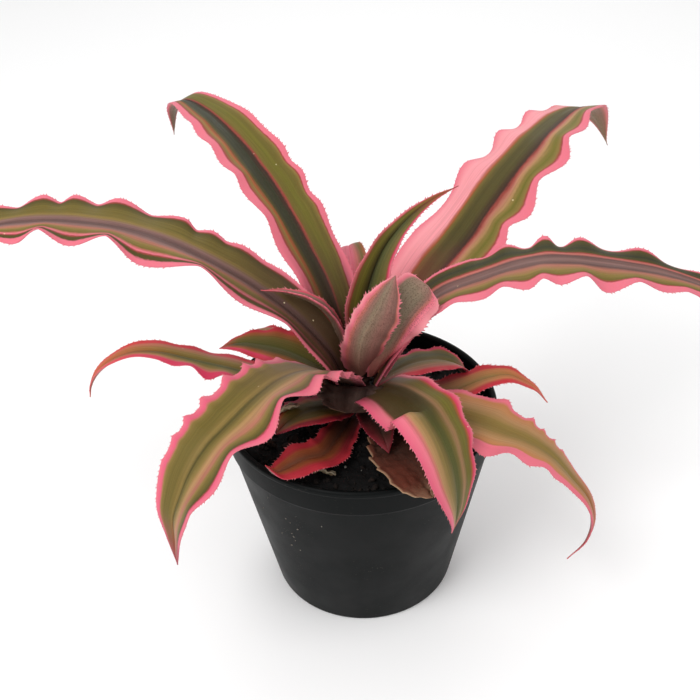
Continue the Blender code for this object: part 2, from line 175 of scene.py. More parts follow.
@dataclass(frozen=True)
class Leaf:
    """One leaf. width: the blade's greatest width. rib: its midrib as (out, up, left) points. bands:
    colours across it. under: the same for its lower face. base, peak, tip: its outline. roll: turn
    about the midrib, left side up. fold: how far each half is raised. left, right: its margins, alike
    if only the left is given. heart, end: the colours it turns to near the stem and at the tip, each
    with its strength and how far it reaches; a fourth number for the heart says how much of that reach
    fades, from 0, a sharp end, to 1. Where the heart is dark, that is partly the leaf's own colour and
    partly painted shade, where the leaf bases crowd round the stem. tooth: the size of its teeth.
    uneven: how much wider the left half is than the right. flare: how much wider the margins' colours
    are near the stem, and how far along. crease: (place, colour, strength) of a fold, with painted
    shade on the blade above it."""

    name: str
    azimuth: float
    width: float
    rib: tuple
    bands: tuple
    under: tuple = UNDER_BANDS
    base: float = 0.5
    peak: float = 0.4
    tip: tuple = (1.8, 1.0)
    roll: tuple = (0,)
    fold: tuple = (15,)
    left: Edge = Edge(5)
    right: Edge = None
    heart: tuple = (CRIMSON, 0.6, 0.22)
    end: tuple = (RED, 0.6, 0.2)
    dry: bool = False
    tooth: float = 1.0
    uneven: float = 0.0
    flare: tuple = (0.0, 0.3)
    crease: tuple = None


LEAVES = [
    # the long and tall leaves
    # its mauve and puce bands along the midrib are partly its own colour and partly a painted sheen
    Leaf("leaf_long_left", 178, 26.5,
        ((7, 13, 1.5), (10, 23, 3.5), (20, 37, 2.5), (36, 51.5, 0.5), (54, 64), (74, 74), (98, 79),
         (122, 78), (146, 70), (166, 57), (180, 44)),
        ((-89, PINK), (-86, BRICK), (-80, MOSS), (-60, OLIVE), (-38, OLIVE), (-26, KHAKI), (-14, MAUVE),
         (0, PUCE), (15, PUCE), (26, MAUVE), (36, ROSE_TAN), (46, KHAKI), (58, OLIVE), (63, SALMON),
         (68, PINK), (72, BRICK), (76, MOSS), (83, MOSS), (87, PINK)),
        ((-80, PINK), (-70, MUSHROOM), (0, STONE), (70, STONE), (76, MOSS), (84, MOSS), (88, PINK)),
        peak=0.35, tip=(2.2, 1.1), roll=(-30, -5, -5, -5), fold=(24, 8, 8),
        left=Edge(((0.08, 0.5), (0.25, 0.9), (0.43, 1.1), (0.55, 0.75), (0.64, 0.8), (0.75, 0.8),
                   (0.87, 0.6)), -3.6, 0.05, 0.7),
        right=Edge(((0.2, 0.3), (0.28, 0.35), (0.335, 0.5), (0.385, 0.8), (0.49, 1.0), (0.56, 0.7),
                    (0.61, 0.9), (0.7, 0.9), (0.8, 0.7), (0.9, 0.4)), 1.9, 0.03, 0.8),
        heart=(UMBER, 0.85, 0.42), uneven=0.04),
    Leaf("leaf_tall_back_left", 126, 28,
        ((6, 15), (10, 26), (15, 36), (24, 47), (42, 63), (58, 73), (78, 82), (98, 86), (116, 85),
         (126, 78), (129, 66)),
        ((-85, PINK), (-82, BRICK), (-77, KHAKI), (-68, OLIVE), (-45, FERN), (-22, OLIVE), (-15, BRICK),
         (-10, UMBER), (5, PINE), (30, PINE), (42, MOSS), (52, RUST), (60, KHAKI), (72, BRICK), (76, PINK)),
        tip=(2.4, 1.2), roll=(-12, 10, -5, -5), fold=(15, 15, 8),
        left=Edge(((0.14, 0.5), (0.29, 1.0), (0.44, 0.8), (0.54, 0.6), (0.65, 0.6), (0.74, 0.3)), -1.0,
                   0.06, 0.8),
        right=Edge(((0.2, 0.4), (0.36, 1.0), (0.45, 0.7), (0.53, 0.6), (0.66, 0.5)), 0.8, 0.05),
        heart=(UMBER, 0.75, 0.38), end=(STONE, 0.55, 0.12), uneven=0.03, flare=(0.15, 0.3)),
    Leaf("leaf_tall_back_right", 42, 39,
        ((6, 12), (12, 20), (22, 30), (39, 43), (51, 50), (72, 65), (96, 77), (121, 81), (132, 77.5),
         (141, 69.5), (150, 56)),
        ((-85, PINK), (-82, BRICK), (-77, KHAKI), (-67, FERN), (-58, KHAKI), (-52, TAN), (-45, ROSE_TAN),
         (-39, BRICK), (-33, UMBER), (-15, MOSS), (8, MOSS), (24, OLIVE), (31, RUST), (36, SALMON),
         (42, PALE_PINK), (80, PALE_PINK), (100, PINK)),
        peak=0.45, tip=(2.2, 1.5), roll=(-7, -5, -10, -28), fold=(10, -5, 8),
        left=Edge(((0.31, 0.7), (0.51, 1.0), (0.625, 1.0), (0.71, 0.9), (0.79, 0.4)), 1.6, 0.09, 1.2),
        right=Edge(((0.36, 0.5), (0.45, 0.8), (0.6, 1.0), (0.7, 0.8), (0.79, 0.3)), -1.2, 0.12, 0.8),
        heart=(DEEP_PINK, 0.35, 0.35), end=(TAN, 0.5, 0.3), uneven=-0.08),
    Leaf("leaf_long_right", 0, 25.5,
        ((6, 9), (14, 25, 1), (28, 42, 4.5), (45, 52, 2), (65, 59), (91, 56), (117, 49), (140, 37),
         (155, 23)),
        ((-76, PINK), (-72, BRICK), (-67, OLIVE), (-52, KHAKI), (-34, ROSE_TAN), (-22, PUCE), (0, MAUVE),
         (20, PUCE), (30, SALMON), (37, BRICK), (42, MOSS), (60, PINE), (84, MOSS), (88, BRICK),
         (92, PINK)),
        tip=(2.0, 1.1), roll=(5, 0, 7, 0), fold=(12, 0, 8),
        left=Edge(((0.3, 0.2), (0.385, 0.6), (0.465, 1.0), (0.535, 0.9), (0.66, 0.9), (0.8, 0.5),
                   (0.88, 0.4)), 2.1, 0.05, 1.2),
        right=Edge(((0.23, 0.4), (0.33, 0.5), (0.415, 0.8), (0.475, 0.6), (0.57, 1.6), (0.69, 0.4),
                    (0.78, 0.5), (0.87, 0.5)), -1.8, 0.07, 0.8), heart=(UMBER, 0.7, 0.28), uneven=-0.05),
    # the heart of the rosette
    Leaf("leaf_inner_back", 80, 16,
        ((4, 18), (7, 30), (11, 44, -2.5), (17, 58, -8), (23, 67, -16), (28, 73, -25), (31, 76.5, -33)),
        ((-100, PINK), (-90, DEEP_PINK), (-84, BRICK), (-75, OLIVE), (-30, GREEN), (0, PINE), (20, MOSS),
         (50, FERN), (74, OLIVE), (82, BRICK), (88, SALMON), (100, PINK)),
        base=0.6, peak=0.35, tip=(1.0, 1.15), roll=(0, 10, 10), fold=(40, 30, 25), left=Edge(6, 0.3),
        heart=(UMBER, 0.5, 0.3), end=(RED, 0.5, 0.3)),
    Leaf("leaf_young_front", 270, 18.5,
        ((6, 16, 0.5), (12, 26.5, 0), (16, 40, 2), (16, 50, 6.5), (13.5, 63, 13)),
        YOUNG_BANDS,
        ((-100, PALE_PINK), (-80, PINK), (-64, SALMON), (-44, MUSHROOM), (-10, STONE), (40, MUSHROOM),
         (80, COCOA), (90, SALMON), (100, PINK)),
        base=0.75, peak=0.5, tip=(2.4, 1.0), roll=(0, -22, -28), fold=(30, 36, 12), left=Edge(5, 0.6),
        right=Edge(6, 0.7, 0.05), heart=(rgb(104, 44, 44), 0.8, 0.5), end=(PINK, 0.2, 0.1), tooth=1.25),
    Leaf("leaf_young_right", 315, 20,
        ((6, 14, 0.5), (11.5, 26, 0.5), (16, 40, 2), (19.5, 49, 6), (22.5, 54.5, 12.5)),
        YOUNG_BANDS,
        ((-100, PALE_PINK), (-86, PINK), (-74, STONE), (15, STONE), (40, MUSHROOM), (50, SALMON),
         (60, PINK), (100, PALE_PINK)),
        base=0.2, peak=0.9, tip=(3.0, 0.55), roll=(-12, -45, -50), fold=(6, -5, 0),
        left=Edge(((0.5, 1.0), (0.85, 0.8)), 2.0), right=Edge(3, 0.8), heart=(rgb(176, 84, 84), 0.8, 0.5),
        end=(PINK, 0.2, 0.1), tooth=1.25),
    Leaf("leaf_slim_left", 182, 8.5,
        ((5, 20), (7, 29, -1), (10, 38, -1), (16, 45.5), (24, 49.5), (34, 52, 1)),
        ((-100, SALMON), (-80, DEEP_PINK), (-60, MUSHROOM), (0, COCOA), (60, MUSHROOM), (80, SALMON),
         (100, PINK)),
        base=0.8, peak=0.3, tip=(1.5, 1.0), roll=(6, 12), fold=(30, 30, 30), left=Edge(5, 0.2),
        heart=(UMBER, 0.85, 0.6)),
    # the broad leaves that hang over the rim in front
    Leaf("leaf_broad_front_left", 222, 34,
        ((6.5, 10), (12, 17), (28, 28), (38, 30), (49, 28), (60, 24), (71, 19), (78, 13), (83, 6), (87, -2),
         (88, -12), (89, -24)),
        ((-100, PINK), (-82, HOT_PINK), (-77, SALMON), (-71, KHAKI), (-55, OLIVE), (-25, OLIVE),
         (-8, KHAKI), (2, MOSS), (12, OLIVE), (26, KHAKI), (40, TAN), (54, ROSE_TAN), (64, KHAKI),
         (72, OLIVE), (81, MOSS), (84, BRICK), (87, HOT_PINK), (100, PINK)),
        base=0.45, peak=0.45, tip=(2.0, 1.0), roll=(20, 9, 5, 10), fold=(4, 9, 16),
        left=Edge(((0.05, 0.6), (0.105, 0.7), (0.16, 0.8), (0.215, 0.8), (0.3, 1.0), (0.47, 1.1),
                   (0.68, 0.6), (0.82, 0.15)), -2.6, 0.06, 0.8),
        right=Edge(((0.16, 0.4), (0.23, 0.6), (0.3, 0.8), (0.34, 1.0), (0.41, 1.0), (0.5, 1.0), (0.57, 0.7),
                    (0.63, 0.5), (0.7, 0.2)), 0.9, 0.06, 2.6), heart=(MAUVE, 0.5, 0.5),
        end=(CRIMSON, 0.95, 0.2), uneven=0.1, flare=(0.28, 0.4)),
    # its dark heart and the dark colour above its crease are painted shade on the part above the fold
    Leaf("leaf_broad_front_right", 300, 30,
        ((6.5, 6), (13, 13), (21, 18), (33, 22), (46, 23), (54, 19), (59, 13), (62, 5), (63, -3), (62, -14),
         (61, -20)),
        ((-100, HOT_PINK), (-76, PINK), (-66, SALMON), (-58, TAN), (-38, KHAKI), (-20, OLIVE), (-4, GREEN),
         (10, GREEN), (22, OLIVE), (36, rgb(150, 112, 78)), (50, OLIVE), (60, FERN), (74, OLIVE),
         (82, RUST), (88, DEEP_PINK), (100, PINK)),
        base=0.6, peak=0.5, tip=(2.0, 1.1), roll=(8, 2, -20, -30), fold=(4, -8, 16),
        left=Edge(6, 0.4, 0.03), right=Edge(((0.3, 0.5), (0.52, 0.6), (0.75, 0.4)), 0.8, pleat=(0.44, 4.2)),
        heart=(rgb(74, 40, 30), 0.9, 0.42, 0.9), end=(DEEP_PINK, 0.5, 0.12), tooth=1.2, flare=(0.1, 0.4),
        crease=(0.44, rgb(56, 46, 25), 0.9)),
    Leaf("leaf_hooked_right", 331, 29.5,
        ((6.5, 0), (24, 4), (42, 6), (52, 6), (60, 5), (68, 4), (77, 0), (84.5, -7), (91, -14), (94, -23),
         (93, -34), (87, -47)),
        ((-70, PINK), (-64, AMBER), (-40, TAN), (-10, KHAKI), (20, KHAKI), (50, TAN), (80, AMBER),
         (90, PINK)),
        base=0.55, peak=0.35, tip=(1.1, 1.5), roll=(-5, 3, -12, 8), fold=(0, 0, 14),
        left=Edge(((0.24, 0.5), (0.38, 1.0), (0.47, 0.9), (0.51, 0.5), (0.55, 0.6), (0.59, 0.4)), 0.7, 0.07,
                   3.0), right=Edge(((0.3, 0.4), (0.4, 1.0), (0.52, 0.7), (0.6, 0.4)), -1.2, 0.08),
        heart=(CRIMSON, 0.5, 0.2), end=(RED, 0.85, 0.4)),
    # the smaller leaves round the side
    Leaf("leaf_curled_left", 186, 17.5,
        ((6.5, 2), (20, 7.5), (32, 12.5), (44, 19), (52, 22.5), (62, 26.5), (74, 31), (82, 31.5), (89, 29),
         (95.5, 24), (99, 18), (100, 13.5)),
        ((-78, RED), (-64, ROSE_TAN), (-30, KHAKI), (0, OLIVE), (20, GREEN), (45, KHAKI), (60, ROSE_TAN),
         (72, DEEP_PINK)),
        base=0.6, peak=0.35, tip=(1.5, 1.0), roll=(3, 4, 0, 2), fold=(22, 0, 24),
        left=Edge(((0.2, 0.3), (0.38, 0.8), (0.5, 1.0), (0.62, 0.4)), -1.1, 0.18),
        right=Edge(((0.28, 0.3), (0.42, 0.5), (0.55, 0.5), (0.66, 0.3)), 0.5, 0.05),
        heart=(UMBER, 0.5, 0.25), end=(ORANGE_RED, 0.7, 0.45)),
    Leaf("leaf_short_left", 162, 19,
        ((6.5, 5), (12, 10), (19, 14), (28, 17.5), (38, 18.5), (48, 17.5), (57, 13.5)),
        ((-85, RED), (-70, RUST), (-40, OLIVE), (0, GREEN), (35, MOSS), (62, RUST), (74, DEEP_PINK),
         (100, RED)), DARK_UNDER,
        base=0.6, peak=0.45, roll=(-8, -11, -8), fold=(24, 5, 10), left=Edge(6, 0.4),
        heart=(UMBER, 0.5, 0.4)),
    Leaf("leaf_short_right", 15, 24,
        ((6.5, 5), (13, 9), (22, 12), (32, 11), (40, 6), (44, 0)),
        ((-78, RED), (-62, ROSE_TAN), (-30, KHAKI), (0, OLIVE), (40, GREEN), (68, OLIVE), (80, RUST),
         (86, DEEP_PINK)), DARK_UNDER,
        peak=0.45, tip=(2.0, 1.0), roll=(-25, -15, 0), fold=(4, 0, 30), left=Edge(5, 0.3),
        end=(RED, 0.6, 0.25), tooth=1.3),
    Leaf("leaf_slim_right", 358, 14.5,
        ((6.5, -2), (22, 0), (35, 2, 1), (42, 6, 0.5), (49, 9.5), (56, 10.5), (61, 8), (67, 3.5), (72, -3)),
        ((-75, RED), (-50, AMBER), (0, KHAKI), (50, AMBER), (72, RED)), DARK_UNDER,
        base=0.9, tip=(1.5, 1.0), roll=(6, 9, 0), fold=(25, 6, 11), left=Edge(6, 0.3),
        heart=(COCOA, 0.85, 0.75), end=(ORANGE_RED, 0.75, 0.4), tooth=1.2),
    # the lowest leaves, close over the potting mix
    Leaf("leaf_low_front_left", 236, 15,
        ((6.5, -2.5, 1), (21, -2, 4), (34, -0.5, 6), (43, 2.5, 3), (50, 3, 1), (54, 4, 0), (57, 9, -2)),
        LOW_BANDS, DARK_UNDER,
        base=0.6, peak=0.55, tip=(2.0, 1.0), roll=(-3, -14, -24), fold=(12, 10, 8), left=Edge(6, 0.5, 0.06),
        right=Edge(5, 0.5), heart=(rgb(40, 24, 22), 0.9, 0.62), end=(RED, 0.4, 0.2)),
    Leaf("leaf_low_left", 212, 24,
        ((6.5, -0.5), (14, 2), (22, 4.5), (29, 4.5), (37, 0)),
        ((-84, CRIMSON), (-66, RUST), (-45, OLIVE), (0, MOSS), (50, OLIVE), (68, RUST), (80, CRIMSON),
         (100, RED)), DARK_UNDER,
        peak=0.5, tip=(2.0, 1.0), roll=(0, 12, 14), fold=(4, -2, 12), left=Edge(4, 0.3),
        heart=(UMBER, 0.7, 0.4), end=(CRIMSON, 0.6, 0.25)),
    # this leaf's dark bands and near-black heart, which reaches nearly to its tip, are mostly painted
    # shadow of the leaves above it; the dark red at its margins is its own colour
    Leaf("leaf_low_front", 285, 12,
        ((6.5, 2), (15, 3.5), (24, 5), (31, 4.5), (36, 2.5)),
        ((-100, rgb(112, 30, 40)), (-70, rgb(96, 30, 34)), (0, UMBER), (70, UMBER),
         (100, rgb(112, 30, 40))), DARK_UNDER,
        base=0.6, peak=0.5, roll=(0, 8, 8), fold=(12, 14, 8), left=Edge(5, 0.3),
        heart=(rgb(34, 22, 20), 0.95, 0.9), end=(CRIMSON, 0.4, 0.3), tooth=0.7),
    Leaf("leaf_withered_front", 290, 21,
        ((6.5, -2.5, 1), (22, -1.5, 2), (38, 1, 0), (50, 3, 1), (60, 0, 3)),
        DRY_BANDS, DRY_BANDS,
        base=0.25, peak=0.72, tip=(3.0, 0.8), fold=(12, 5, 8), left=Edge(9, 0.9, 0.08, 1.6),
        right=Edge(8, 1.1, 0.1, 1.6), heart=(UMBER, 0.9, 0.75, 0.4), end=(DRY_EDGE, 0.4, 0.15), dry=True),
    Leaf("leaf_dry_heart", 256, 23,
        ((6.5, 7.5), (9.5, 12), (14, 15.5), (18.5, 15), (22.5, 11)),
        ((-100, rgb(84, 66, 58)), (-80, rgb(44, 30, 27)), (-45, rgb(72, 56, 50)), (-10, rgb(40, 28, 25)),
         (25, rgb(76, 60, 54)), (55, rgb(42, 29, 26)), (80, rgb(80, 62, 55)), (100, rgb(46, 32, 28))),
        DRY_BANDS,
        base=0.7, peak=0.6, tip=(4.0, 0.6), roll=(0, 6), fold=(10, 0, -10), left=Edge(4, 1.2, 0.14, 1.8),
        right=Edge(5, 1.2, 0.14, 1.8), heart=(rgb(44, 28, 26), 0.8, 0.8), end=(UMBER, 0.5, 0.4), dry=True),
    # leaves that the others hide from the front
    Leaf("leaf_low_back", 98, 17,
        ((6.5, 3), (16, 17), (30, 30, -3), (46, 36, -5), (58, 34, -6), (68, 25, -7)),
        ((-100, RUST), (-70, OLIVE), (-40, SALMON), (-10, PINK), (60, PINK), (100, DEEP_PINK)), DARK_UNDER,
        base=0.55, roll=(-5, -20, -10), fold=(12, 6, 10), left=Edge(6, 0.5)),
    Leaf("leaf_low_back_left", 136, 17,
        ((6.5, -2.5), (18, 4), (32, 7), (46, 7.5), (58, 5), (67, -1)),
        GREEN_BANDS, DARK_UNDER,
        base=0.55, fold=(12, 6, 10), left=Edge(6, 0.5)),
]

# curled scraps of dead leaf beside the lowest leaves
SCRAP_LOOKS = {
    "bands": SCRAP_BANDS, "under": SCRAP_BANDS, "peak": 0.5, "tip": (2.0, 0.8), "left": Edge(3, 0.5),
    "heart": (DRY_GREY, 0.3, 0.4), "end": (DRY_EDGE, 0.3, 0.2), "dry": True,
}
SCRAPS = [
    Leaf("dry_scrap_front", 170, 3.6, ((3.5, -4.6, 38.5), (6, -3.2, 39.2), (9, -3.4, 38.4), (12, -4.4, 39)),
        roll=(30, 40, 10), fold=(30, 10, 30), **SCRAP_LOOKS),
    Leaf("dry_scrap_left", 200, 5, ((25, 4.5), (28, 5.2, 0.5), (31, 4.2), (33.5, 2, -1)),
        roll=(10, 30, 20), fold=(20, 10, 30), **SCRAP_LOOKS),
]


# ---- shader helpers


class Nodes:
    """A material's node tree, with short calls to add nodes to it."""

    def __init__(self, name):
        self.material = bpy.data.materials.new(name)
        self.material.use_nodes = True
        self.tree = self.material.node_tree
        self.shader = self.tree.nodes["Principled BSDF"]

    def feed(self, socket, value):
        if isinstance(value, bpy.types.NodeSocket):
            self.tree.links.new(value, socket)
        else:
            socket.default_value = value

    def set(self, name, value):
        self.feed(self.shader.inputs[name], value)

    def add(self, kind, output, inputs=(), **settings):
        """A new node's output. inputs: (name or number, value or socket) pairs."""
        node = self.tree.nodes.new(kind)
        for name, value in settings.items():
            setattr(node, name, value)
        for name, value in inputs:
            self.feed(node.inputs[name], value)
        return node.outputs[output]

    def math(self, operation, *values, clamp=False):
        return self.add("ShaderNodeMath", 0, enumerate(values), operation=operation, use_clamp=clamp)

    def times(self, first, second):
        return self.math("MULTIPLY", first, second)

    def plus(self, first, second):
        return self.math("ADD", first, second)

    def spread(self, value, low, high, to_low=0.0, to_high=1.0):
        """value taken from low..high to to_low..to_high, smoothly and no further."""
        inputs = enumerate((value, low, high, to_low, to_high))
        return self.add("ShaderNodeMapRange", 0, inputs, interpolation_type="SMOOTHSTEP")

    def mix(self, factor, first, second, blend="MIX"):
        inputs = ("Factor", factor), ("A", first), ("B", second)
        return self.add("ShaderNodeMix", "Result", inputs, data_type="RGBA", blend_type=blend)

    def attribute(self, name):
        return self.add("ShaderNodeAttribute", "Fac", attribute_name=name)

    def place(self, x, y, z):
        return self.add("ShaderNodeCombineXYZ", 0, enumerate((x, y, z)))

    def object_place(self):
        return self.add("ShaderNodeTexCoord", "Object")

    def noise(self, place, scale, detail, roughness=0.5):
        inputs = ("Vector", place), ("Scale", scale), ("Detail", detail), ("Roughness", roughness)
        return self.add("ShaderNodeTexNoise", "Fac", inputs)

    def cells(self, place, scale):
        """Distance from the nearest of many scattered points."""
        return self.add("ShaderNodeTexVoronoi", "Distance", (("Vector", place), ("Scale", scale)))

    def banded(self, share, bands):
        """The colour of the bands at a share from 0 at the right margin to 1 at the left."""
        colour = self.add("ShaderNodeValToRGB", "Color", [("Fac", share)])
        elements = colour.node.color_ramp.elements
        while len(elements) < len(bands):
            elements.new(1.0)
        for element, (place, band) in zip(elements, bands):
            element.position = (place / 100 + 1) / 2
            element.color = band
        return colour

    def bump(self, height, strength, distance):
        inputs = ("Height", height), ("Strength", strength), ("Distance", distance)
        return self.add("ShaderNodeBump", "Normal", inputs)


def creased(n, crease, along, across, wobble, colour):
    """The colour, with painted shade above a fold that is sharp on the blade's right half and soft on its
    left.
    """
    place, shadow, strength = crease
    sharp = n.spread(n.plus(along, n.times(wobble, 0.3)), place + PLEAT_SHARPNESS, place - PLEAT_SHARPNESS)
    soft = n.spread(along, place + 0.2, place - 0.12)
    softness = n.spread(across, -0.3, 0.1)
    above = n.plus(n.times(sharp, n.math("SUBTRACT", 1.0, softness)), n.times(soft, softness))
    middle = n.times(n.spread(across, -0.74, -0.62), n.spread(across, 0.4, 0.2))
    return n.mix(n.times(n.times(above, middle), strength), colour, shadow)


def leaf_material(leaf, length):
    """Bands of colour along the blade, with fine veins, specks of scurf, paler teeth and painted shade at
    the stem end and above a crease.
    """
    n = Nodes(leaf.name)
    along = n.attribute("along")
    across = n.attribute("across")
    under = n.attribute("under")
    off_midrib = n.math("ABSOLUTE", across)
    along_mm = n.times(along, length)
    across_mm = n.times(across, leaf.width / 2)
    seed = leaf.azimuth * 0.37 + leaf.width

    def drawn_out(lengthwise, sideways):
        """Places for a pattern with that many repeats to the millimetre, each way."""
        return n.place(n.times(along_mm, lengthwise), n.times(across_mm, sideways), seed)

    slow = n.noise(drawn_out(0.05, 0.12), 1.0, 3.0)
    veins = n.noise(drawn_out(0.03, 1.6), 1.0, 3.0, 0.6)
    grain = n.noise(drawn_out(0.9, 3.0), 1.0, 2.0)

    # where in the bands a point lies, with borders that wander a little
    uneven = n.math("SUBTRACT", slow, 0.5)
    fray = n.times(n.math("SUBTRACT", grain, 0.5), 0.05)
    flare, flare_reach = leaf.flare
    flared = n.math("MULTIPLY_ADD", n.spread(along, flare_reach, flare_reach * 0.4), flare, 1.0)
    place = n.plus(n.plus(n.times(across, flared), n.times(uneven, 0.16)), fray)
    share = n.math("MULTIPLY_ADD", place, 0.5, 0.5, clamp=True)
    top = n.banded(share, leaf.bands)
    bottom = n.banded(share, leaf.under)

    # veins darken and lighten the middle of the blade more than its margins
    inner = n.spread(off_midrib, 0.85, 0.6)
    vein_depth = n.times(inner, 0.5)
    shade = n.spread(veins, 0.3, 0.7, 0.72, 1.22)
    top = n.mix(vein_depth, top, n.mix(1.0, top, shade, "MULTIPLY"))
    bottom = n.mix(vein_depth, bottom, n.mix(1.0, bottom, shade, "MULTIPLY"))

    # the stem end, darkened partly in the leaf's own colour and partly with painted shade, and the tip
    heart_colour, heart_strength, heart_reach, *heart_fade = leaf.heart
    heart_full = heart_reach * (1 - (heart_fade[0] if heart_fade else 0.8))
    end_colour, end_strength, end_reach = leaf.end
    wobble = n.times(uneven, 0.1)
    wandering = n.plus(along, wobble)
    near_stem = n.spread(wandering, heart_reach, heart_full, 0.0, heart_strength)
    near_tip = n.spread(wandering, 1.0 - end_reach, 1.0, 0.0, end_strength)
    top = n.mix(n.times(near_stem, n.spread(off_midrib, 1.0, 0.72)), top, heart_colour)
    # painted shade on the blade above the crease
    if leaf.crease:
        top = creased(n, leaf.crease, along, across, wobble, top)
    top = n.mix(near_tip, top, end_colour)
    bottom = n.mix(n.times(near_stem, 0.8), bottom, heart_colour)
    bottom = n.mix(n.times(near_tip, 0.7), bottom, end_colour)

    # scurf: fine dark and pale flecks, dense below and sparse above, and a few grains of dust
    fleck_place = drawn_out(1.4, 2.2)
    dark_fleck = n.spread(n.cells(fleck_place, 1.0), 0.42, 0.16)
    pale_fleck = n.spread(n.cells(fleck_place, 1.6), 0.22, 0.08)
    bottom = n.mix(n.times(n.times(dark_fleck, inner), 0.7), bottom, UMBER)
    bottom = n.mix(n.times(pale_fleck, 0.4), bottom, UNDER_FLECK)
    top = n.mix(n.times(n.times(pale_fleck, inner), 0.1), top, TOP_FLECK)
    dust = n.spread(n.cells(n.place(along_mm, across_mm, seed), 0.11), 0.036, 0.018)
    top = n.mix(dust, top, DUST)

    n.set("Base Color", n.mix(n.attribute("tooth"), n.mix(under, top, bottom), TOOTH_PINK))
    dullness = (0.75, 0.95) if leaf.dry else (0.4, 0.55)
    n.set("Roughness", n.mix(under, n.spread(slow, 0.3, 0.7, *dullness), rgb(175, 175, 175)))
    ridges = n.plus(n.times(veins, 0.8), n.times(grain, 0.35))
    n.set("Normal", n.bump(ridges, 0.35, 0.25 * MM))
    n.set("Specular IOR Level", 0.08 if leaf.dry else 0.16)
    n.set("Subsurface Weight", 0.12)
    n.set("Subsurface Radius", (1.0, 0.35, 0.25))
    n.set("Subsurface Scale", 1.2 * MM)
    return n.material


def pot_material():
    """Satin black moulded plastic: a faint greenish tone, fine mould grain and a film of dust."""
    n = Nodes("pot_plastic")
    place = n.object_place()
    grain = n.noise(place, 1800.0, 2.0)
    patches = n.noise(place, 45.0, 4.0, 0.6)
    dust = n.times(n.spread(n.cells(place, 700.0), 0.2, 0.06), n.spread(patches, 0.5, 0.75))
    colour = n.mix(n.spread(patches, 0.3, 0.7), rgb(2, 4, 4), rgb(5, 8, 8))
    n.set("Base Color", n.mix(n.times(dust, 0.5), colour, rgb(120, 112, 100)))
    n.set("Roughness", n.spread(patches, 0.25, 0.75, 0.42, 0.55))
    n.set("Normal", n.bump(n.plus(grain, n.times(dust, 2.0)), 0.12, 0.1 * MM))
    n.set("Specular IOR Level", 0.1)
    return n.material


def soil_material(name, dark, light, scale=900.0):
    """Damp crumbly matter, mottled between two colours."""
    n = Nodes(name)
    mottle = n.noise(n.object_place(), scale, 5.0, 0.7)
    n.set("Base Color", n.mix(n.spread(mottle, 0.35, 0.7), dark, light))
    n.set("Roughness", n.spread(mottle, 0.3, 0.7, 0.7, 0.98))
    n.set("Normal", n.bump(mottle, 0.6, 0.3 * MM))
    n.set("Specular IOR Level", 0.25)
    return n.material


def plain_material(name, colour, roughness):
    """One colour with a barely darker mottle."""
    n = Nodes(name)
    tone = n.noise(n.object_place(), 3.0, 2.0)
    n.set("Base Color", n.mix(n.times(tone, 0.04), colour, rgb(228, 228, 228)))
    n.set("Roughness", roughness)
    return n.material


# ---- mesh helpers


def new_piece(name, points, faces, material):
    """A smooth-shaded mesh object. points: an (n, 3) array in metres. faces: lists of corners."""
    mesh = bpy.data.meshes.new(name)
    mesh.from_pydata(np.asarray(points, float).tolist(), [], faces)
    return show(mesh, material)


def show(mesh, material):
    """The mesh as a smooth-shaded object in the scene."""
    mesh.materials.append(material)
    mesh.shade_smooth()
    obj = bpy.data.objects.new(mesh.name, mesh)
    bpy.context.scene.collection.objects.link(obj)
    return obj


def set_attribute(obj, name, values):
    attribute = obj.data.attributes.new(name, "FLOAT", "POINT")
    attribute.data.foreach_set("value", np.asarray(values, np.float32))


def grid_faces(rows, columns, start=0, flip=False):
    """Quads between the points of a grid stored row by row."""
    faces = []
    for i in range(rows - 1):
        for j in range(columns - 1):
            a = start + i * columns + j
            quad = (a, a + columns, a + columns + 1, a + 1)
            faces.append(quad[::-1] if flip else quad)
    return faces


def ring(radius, height, count, turn=0.0):
    """Points evenly round the pot's axis."""
    angles = [turn + 2 * math.pi * i / count for i in range(count)]
    return [(radius * math.cos(a), radius * math.sin(a), height) for a in angles]


def turned_piece(name, profile, segments, material):
    """A closed solid turned about Z from (radius, height) points that start and end on the axis."""
    bm = bmesh.new()
    rings = []
    for radius, height in profile:
        points = ring(radius, height, segments) if radius > 0 else [(0, 0, height)]
        rings.append([bm.verts.new(point) for point in points])
    for lower, upper in zip(rings, rings[1:]):
        for i in range(segments):
            j = (i + 1) % segments
            corners = [lower[i % len(lower)], lower[j % len(lower)]]
            corners += [upper[j % len(upper)], upper[i % len(upper)]]
            bm.faces.new(list(dict.fromkeys(corners)))
    bmesh.ops.recalc_face_normals(bm, faces=bm.faces)
    mesh = bpy.data.meshes.new(name)
    bm.to_mesh(mesh)
    bm.free()
    return show(mesh, material)


def rounded(profile, corner, radius, steps=4):
    """The profile with the corner at that index replaced by an arc-like curve."""
    before, at, after = (np.array(profile[i], float) for i in (corner - 1, corner, corner + 1))
    start = at + (before - at) * min(0.45, radius / np.linalg.norm(before - at))
    end = at + (after - at) * min(0.45, radius / np.linalg.norm(after - at))
    curve = []
    for i in range(steps + 1):
        u = i / steps
        curve.append(tuple(start * (1 - u) ** 2 + at * 2 * u * (1 - u) + end * u**2))
    return profile[:corner] + curve + profile[corner + 1:]


# ---- leaf shape


